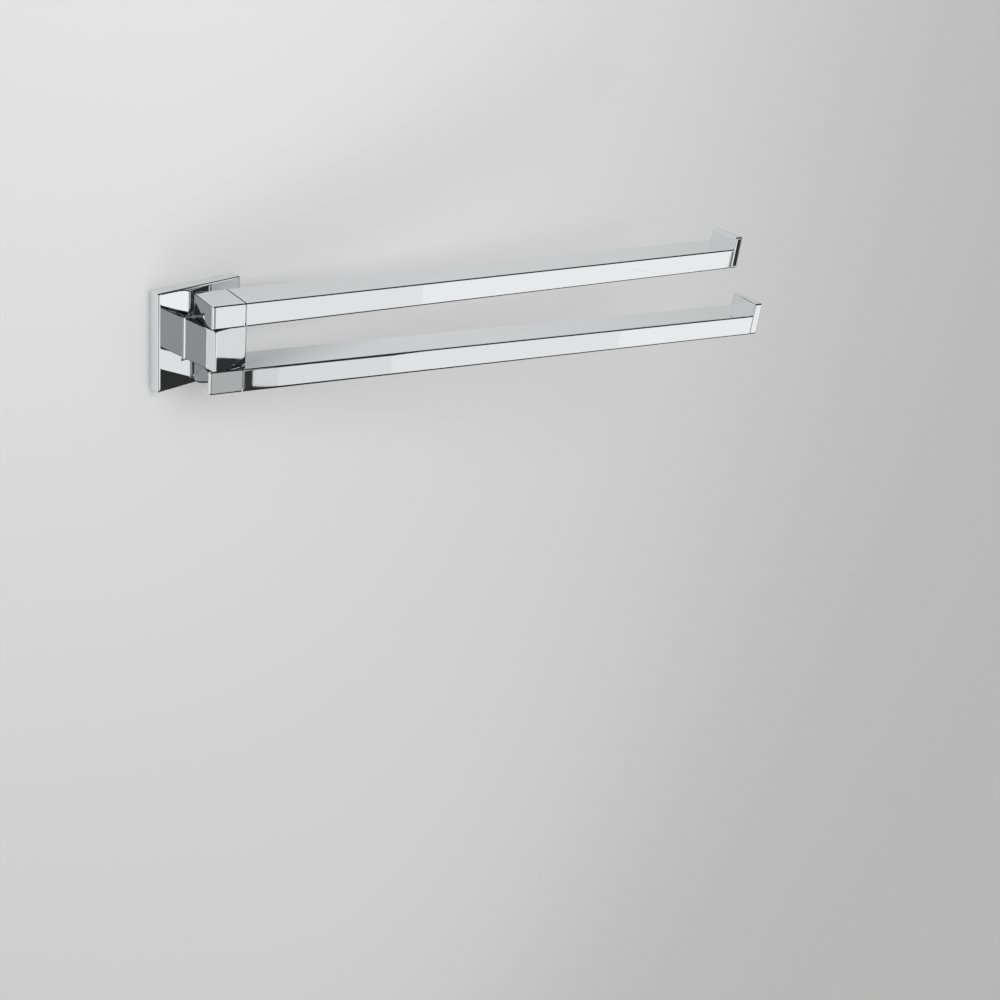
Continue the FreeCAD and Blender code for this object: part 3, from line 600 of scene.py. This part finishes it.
class TOWELBAR_OT_neck(bpy.types.Operator):
    """Build the block between the two knuckles, with its hollow fillet at the plate."""

    bl_idname = "towel_bar.neck"
    bl_label = "Neck block"

    def execute(self, context):
        sizes, plate = settings().neck, settings().plate
        wide, high = sizes.width / 2, sizes.height / 2
        front, foot = NECK_FRONT, -plate.depth
        start = foot - sizes.rim_thickness - sizes.root
        bm = bmesh.new()
        extrude_outline(bm, rectangle(-wide, wide, front, start), -high, high)
        weigh_edges(bm, lambda middle, way: near(middle.y, front) and near(abs(way.z), 1))
        level = sizes.edge / sizes.corner
        weigh_edges(bm, lambda middle, way: near(abs(middle.z), high) and not near(middle.y, start), level)
        piece = new_piece("neck_casting", to_mesh(bm, "neck_casting"))
        polish_marked_edges(piece, sizes.corner)
        self.add_root(piece, sizes, wide, start, foot)
        pivot = PIVOT["upper_arm"]
        seat, deep = high - sizes.seat_depth, high + MM
        cut_holes(piece, [
            ((0, pivot.y, -deep), (0, pivot.y, deep), sizes.pin_hole),
            ((0, pivot.y, seat), (0, pivot.y, deep), sizes.seat),
            ((0, pivot.y, -deep), (0, pivot.y, -seat), sizes.seat),
        ])
        shade_as_machined(piece)
        dress(piece, CHROME, "chrome", "wall_mount", "neck_block")
        return {"FINISHED"}

    def add_root(self, piece, sizes, wide, start, foot):
        """Carries the block's open back outwards in a hollow quarter round, down to the rim on the plate."""
        bm = bmesh.new()
        bm.from_mesh(piece.data)
        back = max((f for f in bm.faces if near(f.calc_center_median().y, start)), key=lambda f: f.calc_area())
        ring = [v.co.copy() for v in back.verts]
        bmesh.ops.delete(bm, geom=[back], context="FACES_ONLY")
        base = [min(bm.verts, key=lambda v, p=p: (v.co - p).length) for p in ring]
        high = sizes.height / 2
        spreads = []
        for step in range(1, ROOT_STEPS + 1):
            turn = math.radians(90 * step / ROOT_STEPS)
            spreads.append((sizes.root * (1 - math.cos(turn)), start + sizes.root * math.sin(turn)))
        spreads += [(sizes.root + sizes.rim, spreads[-1][1]), (sizes.root + sizes.rim, foot)]
        previous = base
        for spread, y in spreads:
            loop = []
            for point in ring:
                x = math.copysign(wide + spread, point.x) if abs(point.x) > wide - HALF_MM else point.x
                z = math.copysign(high + spread, point.z) if abs(point.z) > high - HALF_MM else point.z
                loop.append(bm.verts.new((x, y, z)))
            for i in range(len(loop)):
                j = (i + 1) % len(loop)
                bm.faces.new((previous[i], previous[j], loop[j], loop[i]))
            previous = loop
        bm.faces.new(previous)
        bmesh.ops.remove_doubles(bm, verts=bm.verts, dist=MERGE)
        bmesh.ops.recalc_face_normals(bm, faces=bm.faces)
        bm.to_mesh(piece.data)
        bm.free()


class TOWELBAR_OT_knuckles(bpy.types.Operator):
    """Build the two cast ends that turn on the pivot, with their tongues and bores."""

    bl_idname = "towel_bar.knuckles"
    bl_label = "Knuckles"

    def execute(self, context):
        for arm in ARMS:
            self.build(arm)
        return {"FINISHED"}

    def build(self, arm):
        sizes, side = settings().arm, ARMS[arm]
        half_depth, half_height = sizes.depth / 2, sizes.height / 2
        rear, front = -sizes.knuckle_rear, sizes.knuckle_front
        bm = bmesh.new()
        corner = sizes.knuckle_corner
        outline = rectangle(rear, front, -half_depth, half_depth, (corner, 0.0, 0.0, corner))
        extrude_outline(bm, outline, -half_height, half_height)
        weigh_edges(bm, lambda middle, way: near(abs(middle.z), half_height))
        weigh_edges(bm, lambda middle, way: near(middle.x, front), sizes.rim / sizes.edge)
        name = f"{arm}_knuckle_casting"
        piece = new_piece(name, to_mesh(bm, name))
        polish_marked_edges(piece, sizes.edge)
        screw_x = front + sizes.tongue / 2
        self.add_tongue(piece, sizes, front)
        open_face = -side * half_height
        cut_holes(piece, [
            ((0, 0, open_face - side * MM), (0, 0, open_face + side * sizes.bore_depth), sizes.bore),
            ((0, 0, 0), (0, half_depth + MM, 0), sizes.retainer_hole),
            ((screw_x, 0, -half_height), (screw_x, 0, 0), sizes.grub_hole),
        ])
        piece.data.transform(arm_place(arm))
        shade_as_machined(piece)
        dress(piece, CHROME, "chrome", f"{arm}_arm", f"{arm}_knuckle")

    def add_tongue(self, piece, sizes, front):
        """Extrudes the tongue that plugs into the tube from the knuckle's front face."""
        across = sizes.depth / 2 - sizes.wall - sizes.tongue_fit
        up = sizes.height / 2 - sizes.wall - sizes.tongue_fit
        bm = bmesh.new()
        bm.from_mesh(piece.data)
        face = max((f for f in bm.faces if near(f.calc_center_median().x, front)), key=lambda f: f.calc_area())
        bmesh.ops.inset_individual(bm, faces=[face], thickness=HALF_MM)
        for vert in face.verts:
            vert.co.y = math.copysign(across, vert.co.y)
            vert.co.z = math.copysign(up, vert.co.z)
        grown = bmesh.ops.extrude_discrete_faces(bm, faces=[face])["faces"][0]
        for vert in grown.verts:
            vert.co.x = front + sizes.tongue
        bmesh.ops.remove_doubles(bm, verts=bm.verts, dist=MERGE)
        bm.to_mesh(piece.data)
        bm.free()


class TOWELBAR_OT_tubes(bpy.types.Operator):
    """Build the two flat tubes that towels hang over."""

    bl_idname = "towel_bar.tubes"
    bl_label = "Flat tubes"

    def execute(self, context):
        tree = flat_tube_tree()
        sizes = settings().arm
        start, end = sizes.knuckle_front + sizes.joint_line, sizes.reach - sizes.end_thickness
        screw_x = sizes.knuckle_front + sizes.tongue / 2
        for arm in ARMS:
            piece = new_piece(f"{arm}_tube", bpy.data.meshes.new(f"{arm}_tube"))
            run_tree(
                piece, tree, CHROME, Start=start, End=end, Depth=sizes.depth, Height=sizes.height, Wall=sizes.wall
            )
            self.weigh_rims(piece, sizes)
            polish_marked_edges(piece, sizes.edge)
            half = sizes.height / 2
            cut_holes(piece, [
                ((x, 0, -half - MM), (x, 0, -half + sizes.wall + MM), sizes.grub_hole)
                for x in (screw_x, end - sizes.end_tongue / 2)
            ])
            piece.data.transform(arm_place(arm))
            shade_as_machined(piece)
            dress(piece, CHROME, "chrome", f"{arm}_arm", f"{arm}_bar")
        return {"FINISHED"}

    def weigh_rims(self, piece, sizes):
        """Keeps the outer rims at both ends of the tube sharper than its long edges."""
        bm = bmesh.new()
        bm.from_mesh(piece.data)
        layer = bm.edges.layers.float["bevel_weight_edge"]
        for edge in bm.edges:
            first, last = edge.verts
            if edge[layer] > 0 and near(first.co.x, last.co.x):
                edge[layer] = sizes.rim / sizes.edge
        bm.to_mesh(piece.data)
        bm.free()


class TOWELBAR_OT_end_stops(bpy.types.Operator):
    """Build the two end plates, whose lips stop a towel from sliding off."""

    bl_idname = "towel_bar.end_stops"
    bl_label = "End plates"

    def execute(self, context):
        sizes = settings().arm
        half_depth, half_height = sizes.depth / 2, sizes.height / 2
        inner, outer = sizes.reach - sizes.end_thickness, sizes.reach
        for arm in ARMS:
            bm = bmesh.new()
            extrude_outline(
                bm, rectangle(inner, outer, -half_depth, half_depth), -half_height, half_height + sizes.end_lip
            )
            weigh_edges(bm, lambda middle, way: True)
            name = f"{arm}_end_stop"
            piece = new_piece(name, to_mesh(bm, name))
            polish_marked_edges(piece, sizes.end_edge)
            piece.data.transform(arm_place(arm))
            shade_as_machined(piece)
            dress(piece, CHROME, "chrome", f"{arm}_arm", f"{arm}_end_plate")
        return {"FINISHED"}


class TOWELBAR_OT_screws(bpy.types.Operator):
    """Build the set screws, the lock and retaining screws and the two screws of the neck."""

    bl_idname = "towel_bar.screws"
    bl_label = "Screws"

    def execute(self, context):
        sizes, arm, plate = settings().screw, settings().arm, settings().plate
        tree = screws_on_points_tree()
        up, toward_room = Vector((0, 0, 1)), Vector((0, -1, 0))
        small, tip = sizes.small_radius, sizes.tip_radius
        set_screw = self.turned("set_screw", [(0, sizes.set_radius), (sizes.set_length, sizes.set_radius)])
        plate_screw = self.turned("plate_screw", [(0, small), (sizes.plate_length, small)])
        lock_end, retainer_end = sizes.lock_length + sizes.lock_tip, sizes.retainer_length + sizes.retainer_tip
        lock = self.turned("lock", [(0, small), (sizes.lock_length, small), (lock_end, tip)])
        retainer = self.turned("retainer", [(0, small), (sizes.retainer_length, small), (retainer_end, tip)])
        head_end = sizes.head_height + sizes.shank_length
        neck = self.turned(
            "neck", [(0, sizes.head_radius), (sizes.head_height, sizes.head_radius), (head_end, sizes.shank_radius)]
        )
        head_start = -(plate.depth - plate.front_wall - sizes.head_height)
        low = -(plate.height / 2 - sizes.inset)
        self.drive(
            "wall_side_screws", tree, "wall_mount", Matrix(),
            [
                (plate_screw, up, [(0, -plate.set_screw_depth, low)]),
                (neck, toward_room, [(0, head_start, sizes.spread), (0, head_start, -sizes.spread)]),
                (lock, toward_room, [(0, -(plate.depth + sizes.inset), 0)]),
            ],
            "plate_set_screw", "neck_screws", "pin_lock_screw",
        )
        under = -(arm.height / 2 - sizes.inset)
        places = [
            (arm.knuckle_front + arm.tongue / 2, 0, under),
            (arm.reach - arm.end_thickness - arm.end_tongue / 2, 0, under),
        ]
        for side in ARMS:
            self.drive(
                f"{side}_arm_screws", tree, f"{side}_arm", arm_place(side),
                [(set_screw, up, places), (retainer, toward_room, [(0, arm.depth / 2 - sizes.inset, 0)])],
                f"{side}_bar_set_screw", f"{side}_end_set_screw", f"{side}_retaining_screw",
            )
        for tool in (set_screw, plate_screw, lock, retainer, neck):
            bpy.data.objects.remove(tool)
        return {"FINISHED"}

    def turned(self, name, steps):
        """A screw turned from bar: steps of (end, radius) along +Z that get thinner, chamfered, with a hexagon
        socket in its start."""
        sizes = settings().screw
        chamfer, widest = sizes.chamfer, steps[0][1]
        profile = [(0.0, widest - chamfer), (chamfer, widest)]
        for end, radius in steps[1:]:
            if radius != profile[-1][1]:
                profile.append((profile[-1][0], radius))
            profile += [(end - chamfer, radius), (end, radius - chamfer)]
        bm = bmesh.new()
        rings = []
        for z, radius in profile:
            ring = []
            for side in range(sizes.sides):
                turn = 2 * math.pi * side / sizes.sides
                ring.append(bm.verts.new((radius * math.cos(turn), radius * math.sin(turn), z)))
            rings.append(ring)
        for lower, upper in zip(rings, rings[1:]):
            for side in range(sizes.sides):
                beside = (side + 1) % sizes.sides
                bm.faces.new((lower[side], lower[beside], upper[beside], upper[side]))
        bm.faces.new(list(reversed(rings[0])))
        bm.faces.new(rings[-1])
        piece = new_piece(name, to_mesh(bm, name))
        reach = widest * sizes.socket_share
        socket = bmesh.new()
        bmesh.ops.create_cone(socket, cap_ends=True, segments=6, radius1=reach, radius2=reach, depth=widest * 2)
        cut_shape(piece, to_mesh(socket, "socket_tool"))
        return piece

    def drive(self, name, tree, body, place, groups, *nodes):
        """Puts each group's screw on its places, joins them in one piece and dresses it."""
        whole = bmesh.new()
        for screw, way, places in groups:
            points = bpy.data.meshes.new(name)
            points.from_pydata(places, [], [])
            drive = points.attributes.new("drive", "FLOAT_VECTOR", "POINT")
            drive.data.foreach_set("vector", [value for _ in places for value in way])
            piece = new_piece(name, points)
            run_tree(piece, tree, STEEL, Screw=screw)
            if not piece.data.polygons:
                raise RuntimeError(f"{name}: the tree made no screws")
            whole.from_mesh(piece.data)
            bpy.data.objects.remove(piece)
        mesh = to_mesh(whole, name)
        mesh.transform(place)
        piece = new_piece(name, mesh)
        shade_as_machined(piece)
        dress(piece, STEEL, "screw_steel", body, *nodes)


class TOWELBAR_OT_inner_parts(bpy.types.Operator):
    """Give the bracket, the pin, the washers and the bushes their finishes."""

    bl_idname = "towel_bar.inner_parts"
    bl_label = "Inner parts"

    def execute(self, context):
        finish = {
            "wall_bracket": "zinc_plated_steel", "pivot_pin": "ground_pin_steel",
            "upper_washer": "natural_nylon", "lower_washer": "natural_nylon",
            "upper_bush": "natural_nylon", "lower_bush": "natural_nylon",
        }
        for name, material in finish.items():
            mesh = frame["nodes"][name].data
            mesh.materials.clear()
            mesh.materials.append(bpy.data.materials[material])
        return {"FINISHED"}


class TOWELBAR_OT_finishes(bpy.types.Operator):
    """Make the materials: chrome plate, zinc plate, stainless steel and nylon."""

    bl_idname = "towel_bar.finishes"
    bl_label = "Finishes"

    def execute(self, context):
        colour = settings().colour
        polished_chrome_plate(colour.chrome)
        zinc_plated_steel(colour.zinc)
        stainless_screw_steel(colour.screw)
        ground_pin_steel(colour.pin)
        natural_nylon(colour.nylon)
        return {"FINISHED"}


class TOWELBAR_OT_stage(bpy.types.Operator):
    """Set up the wall, the floor, the soft studio light and the camera."""

    bl_idname = "towel_bar.stage"
    bl_label = "Studio"

    def execute(self, context):
        scene = context.scene
        scene.view_settings.view_transform = "Standard"
        self.add_wall()
        self.add_floor()
        self.add_lights(scene)
        self.add_soft_boxes()
        self.add_camera(scene)
        return {"FINISHED"}

    def add_wall(self):
        """A pale wall that can be seen only from the room, so that the back of the fitting shows. A part of its
        light is its own, as on a lit backdrop, which keeps the shadows on it soft."""
        material = new_material("painted_wall")
        tree = material.node_tree
        paint = add_node(tree, "ShaderNodeBsdfDiffuse", Color=linear("C4C4C4"))
        glow = add_node(tree, "ShaderNodeEmission", Color=linear("D6D6D6"), Strength=0.28)
        lit = add_node(tree, "ShaderNodeAddShader", _0=paint.outputs[0], _1=glow.outputs[0])
        clear = add_node(tree, "ShaderNodeBsdfTransparent")
        behind = add_node(tree, "ShaderNodeNewGeometry").outputs["Backfacing"]
        mix = add_node(tree, "ShaderNodeMixShader", _0=behind, _1=lit.outputs[0], _2=clear.outputs[0])
        add_node(tree, "ShaderNodeOutputMaterial", Surface=mix.outputs[0])
        self.add_sheet("wall", material, (0, ROOM_FLOOR), (0, ROOM_TOP))

    def add_floor(self):
        """A pale floor in front of the wall, far below the fitting."""
        material = new_material("pale_floor")
        tree = material.node_tree
        paint = add_node(tree, "ShaderNodeBsdfDiffuse", Color=linear("EEEEEE"))
        add_node(tree, "ShaderNodeOutputMaterial", Surface=paint.outputs[0])
        floor = self.add_sheet("floor", material, (-ROOM_DEPTH, ROOM_FLOOR), (0, ROOM_FLOOR))
        floor.visible_glossy = False

    def add_sheet(self, name, material, near_edge, far_edge):
        """A flat backdrop over the room's width, between two edges given as (y, z)."""
        bm = bmesh.new()
        corners = ((-1, near_edge), (1, near_edge), (1, far_edge), (-1, far_edge))
        bm.faces.new([bm.verts.new((side * ROOM_SIDE, *edge)) for side, edge in corners])
        mesh = bpy.data.meshes.new(name)
        bm.to_mesh(mesh)
        bm.free()
        mesh.materials.append(material)
        sheet = new_piece(name, mesh)
        return sheet

    def add_lights(self, scene):
        """Even light from all round, a soft lamp that leaves a pool of light on the wall at the left, and a weaker
        one from below that puts the soft shade of the arms above them."""
        world = bpy.data.worlds.new("studio")
        scene.world = world
        world.use_nodes = True
        world.node_tree.nodes.clear()
        sky = add_node(world.node_tree, "ShaderNodeBackground", Color=linear("F4F4F4"), Strength=0.6)
        add_node(world.node_tree, "ShaderNodeOutputWorld", Surface=sky.outputs[0])
        for name, power, side, place, tilt in LAMPS:
            lamp = bpy.data.lights.new(name, "AREA")
            lamp.energy, lamp.shape, lamp.size = power, "SQUARE", side
            light = bpy.data.objects.new(name, lamp)
            light.location = place
            light.rotation_euler = (math.radians(tilt), 0.0, 0.0)
            light.visible_glossy = False
            scene.collection.objects.link(light)

    def add_soft_boxes(self):
        """What the chrome shows: bright soft boxes and grey screens in a dark tent, far away on all sides."""
        for name, (left, right, low, high), brightness in (TENT, *SOFT_BOXES):
            material = new_material(f"{name}_screen")
            tree = material.node_tree
            glow = add_node(tree, "ShaderNodeEmission", Strength=brightness)
            add_node(tree, "ShaderNodeOutputMaterial", Surface=glow.outputs[0])
            distance = TENT_RADIUS if name == "tent" else SCREEN_RADIUS
            across = max(2, math.ceil((right - left) / SCREEN_STEP))
            up = max(2, math.ceil((high - low) / SCREEN_STEP))
            bm = bmesh.new()
            rows = []
            for i in range(up + 1):
                lift = math.radians(low + (high - low) * i / up)
                row = []
                for j in range(across + 1):
                    turn = math.radians(left + (right - left) * j / across)
                    row.append(bm.verts.new((
                        distance * math.cos(lift) * math.sin(turn), -distance * math.cos(lift) * math.cos(turn),
                        distance * math.sin(lift),
                    )))
                rows.append(row)
            for under, over in zip(rows, rows[1:]):
                for j in range(across):
                    bm.faces.new((under[j], under[j + 1], over[j + 1], over[j]))
            mesh = bpy.data.meshes.new(name)
            bm.to_mesh(mesh)
            bm.free()
            mesh.materials.append(material)
            screen = new_piece(name, mesh)
            screen.visible_camera = screen.visible_diffuse = screen.visible_shadow = False
            screen.visible_volume_scatter = False

    def add_camera(self, scene):
        """The camera at the viewing angle of the picture, found from the object's straight edges."""
        azimuth, elevation, roll = (math.radians(value) for value in CAMERA_TURN)
        look = Vector((
            -math.sin(azimuth) * math.cos(elevation), math.cos(azimuth) * math.cos(elevation),
            -math.sin(elevation),
        ))
        right = Vector((math.cos(azimuth), math.sin(azimuth), 0.0))
        up = right.cross(look)
        tilted_right = right * math.cos(roll) + up * math.sin(roll)
        tilted_up = up * math.cos(roll) - right * math.sin(roll)
        lens = bpy.data.cameras.new("camera")
        lens.lens, lens.sensor_width = LENS_MM, SENSOR_MM
        lens.clip_start = 0.01
        camera = bpy.data.objects.new("camera", lens)
        turn = Matrix((tilted_right, tilted_up, -look)).transposed()
        camera.matrix_world = Matrix.Translation(CAMERA_PLACE) @ turn.to_4x4()
        scene.collection.objects.link(camera)
        scene.camera = camera


class TOWELBAR_PT_panel(bpy.types.Panel):
    """Lists the pieces in the order they are built."""

    bl_idname = "TOWELBAR_PT_panel"
    bl_label = "Towel bar"
    bl_space_type = "VIEW_3D"
    bl_region_type = "UI"
    bl_category = "Towel bar"

    def draw(self, context):
        for operator in OPERATORS:
            self.layout.operator(operator.bl_idname)


OPERATORS = (
    TOWELBAR_OT_finishes, TOWELBAR_OT_wall_plate, TOWELBAR_OT_neck, TOWELBAR_OT_knuckles, TOWELBAR_OT_tubes,
    TOWELBAR_OT_end_stops, TOWELBAR_OT_screws, TOWELBAR_OT_inner_parts, TOWELBAR_OT_stage,
)
CLASSES = (
    PlateSizes, NeckSizes, ArmSizes, ScrewSizes, FinishColours, TowelBarSettings, *OPERATORS, TOWELBAR_PT_panel,
)


def register():
    """Makes the settings, the operators and the panel known to Blender."""
    for entry in CLASSES:
        bpy.utils.register_class(entry)
    bpy.types.Scene.towel_bar = PointerProperty(
        type=TowelBarSettings, name="Towel bar", description="Settings of the towel bar"
    )


def unregister():
    """Takes them away again."""
    del bpy.types.Scene.towel_bar
    for entry in reversed(CLASSES):
        bpy.utils.unregister_class(entry)


def main():
    register()
    for operator in OPERATORS:
        group, name = operator.bl_idname.split(".")
        getattr(getattr(bpy.ops, group), name)()


if __name__ == "__main__":
    main()
